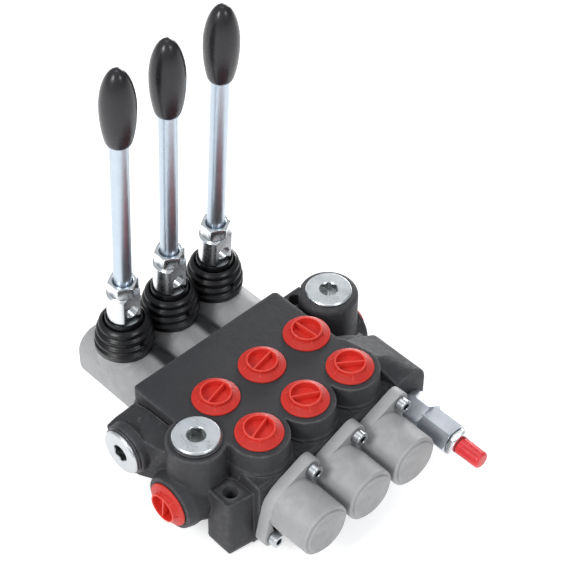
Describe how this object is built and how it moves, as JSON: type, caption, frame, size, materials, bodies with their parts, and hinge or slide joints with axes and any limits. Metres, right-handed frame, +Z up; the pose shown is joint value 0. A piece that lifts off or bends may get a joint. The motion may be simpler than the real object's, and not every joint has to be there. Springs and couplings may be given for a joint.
{
  "type": "hydraulic monoblock directional valve",
  "caption": "Hand-operated hydraulic monoblock valve: cast block with plugged ports, spring-centred spools under end caps, booted levers with ball joints, and an adjustable relief valve.",
  "frame": {"origin": "in the base plane, under the middle of the work-port field", "axes": "+Z up through the work ports, X along the row of spools, Y along each spool from the end caps (-Y) to the levers (+Y)"},
  "size_m": [0.1857, 0.2215, 0.2734],
  "materials": {
    "painted_iron": "satin charcoal paint over sand-cast iron",
    "cast_aluminium": "matte as-cast",
    "zinc_steel": "bright zinc plate",
    "chrome": "bright chrome plate",
    "ground_steel": "ground",
    "spring_steel": "oiled spring wire",
    "red_plastic": "matte moulded polyethylene",
    "red_vinyl": "soft glossy dipped vinyl",
    "black_rubber": "satin moulded rubber",
    "black_plastic": "satin moulded plastic"
  },
  "bodies": {
    "root": {"cap_screw_1_lower": "zinc_steel", "cap_screw_1_upper": "zinc_steel", "cap_screw_2_lower": "zinc_steel", "cap_screw_2_upper": "zinc_steel", "cap_screw_3_lower": "zinc_steel", "cap_screw_3_upper": "zinc_steel", "centring_spring_1": "spring_steel", "centring_spring_2": "spring_steel", "centring_spring_3": "spring_steel", "end_cap_1": "cast_aluminium", "end_cap_2": "cast_aluminium", "end_cap_3": "cast_aluminium", "inlet_top_plug": "zinc_steel", "lever_boot_1": "black_rubber", "lever_boot_2": "black_rubber", "lever_boot_3": "black_rubber", "lever_box_1": "cast_aluminium", "lever_box_2": "cast_aluminium", "lever_box_3": "cast_aluminium", "load_check_plug_1": "zinc_steel", "load_check_plug_2": "zinc_steel", "load_check_plug_3": "zinc_steel", "outlet_top_plug": "zinc_steel", "port_plug_a1": "red_plastic", "port_plug_a2": "red_plastic", "port_plug_a3": "red_plastic", "port_plug_b1": "red_plastic", "port_plug_b2": "red_plastic", "port_plug_b3": "red_plastic", "port_plug_p": "red_plastic", "port_plug_t": "red_plastic", "relief_adjusting_screw": "zinc_steel", "relief_cap": "red_vinyl", "relief_lock_nut": "zinc_steel", "relief_sleeve": "zinc_steel", "relief_spring": "spring_steel", "side_plug": "zinc_steel", "valve_body": "painted_iron"},
    "lever_1": {"lever_hub_1": "chrome", "lever_lock_nut_1": "zinc_steel", "lever_rod_1": "chrome", "lever_knob_1": "black_plastic"},
    "spool_slide_1": {"spool_1": "ground_steel", "spring_retainer_1": "zinc_steel"},
    "check_poppet_1": {"load_check_poppet_1": "ground_steel"},
    "lever_2": {"lever_hub_2": "chrome", "lever_lock_nut_2": "zinc_steel", "lever_rod_2": "chrome", "lever_knob_2": "black_plastic"},
    "spool_slide_2": {"spool_2": "ground_steel", "spring_retainer_2": "zinc_steel"},
    "check_poppet_2": {"load_check_poppet_2": "ground_steel"},
    "lever_3": {"lever_hub_3": "chrome", "lever_lock_nut_3": "zinc_steel", "lever_rod_3": "chrome", "lever_knob_3": "black_plastic"},
    "spool_slide_3": {"spool_3": "ground_steel", "spring_retainer_3": "zinc_steel"},
    "check_poppet_3": {"load_check_poppet_3": "ground_steel"},
    "relief_pilot": {"relief_poppet": "ground_steel"}
  },
  "joints": [
    {"name": "lever_swing_1", "type": "hinge", "parent": "root", "child": "lever_1", "pos_m": [-0.036, 0.1, 0.052], "axis": [1, 0, 0], "range_deg": [-18, 18], "stiffness_Nm_per_rad": 8, "deforming": ["lever_boot_1"]},
    {"name": "spool_stroke_1", "type": "slide", "parent": "root", "child": "spool_slide_1", "axis": [0, 1, 0], "range_m": [-0.006, 0.006], "deforming": ["centring_spring_1"]},
    {"name": "load_check_lift_1", "type": "slide", "parent": "root", "child": "check_poppet_1", "axis": [0, 0, 1], "range_m": [-0.0019, 0], "stiffness_N_per_m": 500, "springref_m": 0.003},
    {"name": "lever_swing_2", "type": "hinge", "parent": "root", "child": "lever_2", "pos_m": [0, 0.1, 0.052], "axis": [1, 0, 0], "range_deg": [-18, 18], "stiffness_Nm_per_rad": 8, "deforming": ["lever_boot_2"]},
    {"name": "spool_stroke_2", "type": "slide", "parent": "root", "child": "spool_slide_2", "axis": [0, 1, 0], "range_m": [-0.006, 0.006], "deforming": ["centring_spring_2"]},
    {"name": "load_check_lift_2", "type": "slide", "parent": "root", "child": "check_poppet_2", "axis": [0, 0, 1], "range_m": [-0.0019, 0], "stiffness_N_per_m": 500, "springref_m": 0.003},
    {"name": "lever_swing_3", "type": "hinge", "parent": "root", "child": "lever_3", "pos_m": [0.036, 0.1, 0.052], "axis": [1, 0, 0], "range_deg": [-18, 18], "stiffness_Nm_per_rad": 8, "deforming": ["lever_boot_3"]},
    {"name": "spool_stroke_3", "type": "slide", "parent": "root", "child": "spool_slide_3", "axis": [0, 1, 0], "range_m": [-0.006, 0.006], "deforming": ["centring_spring_3"]},
    {"name": "load_check_lift_3", "type": "slide", "parent": "root", "child": "check_poppet_3", "axis": [0, 0, 1], "range_m": [-0.0019, 0], "stiffness_N_per_m": 500, "springref_m": 0.003},
    {"name": "relief_opening", "type": "slide", "parent": "root", "child": "relief_pilot", "axis": [0, 1, 0], "range_m": [-0.002, 0], "stiffness_N_per_m": 2000, "springref_m": 0.005, "deforming": ["relief_spring"]}
  ],
  "couplings": [
    {"joint": "spool_stroke_1", "follows": "lever_swing_1", "m_per_rad": 0.0185},
    {"joint": "spool_stroke_2", "follows": "lever_swing_2", "m_per_rad": 0.0185},
    {"joint": "spool_stroke_3", "follows": "lever_swing_3", "m_per_rad": 0.0185}
  ]
}
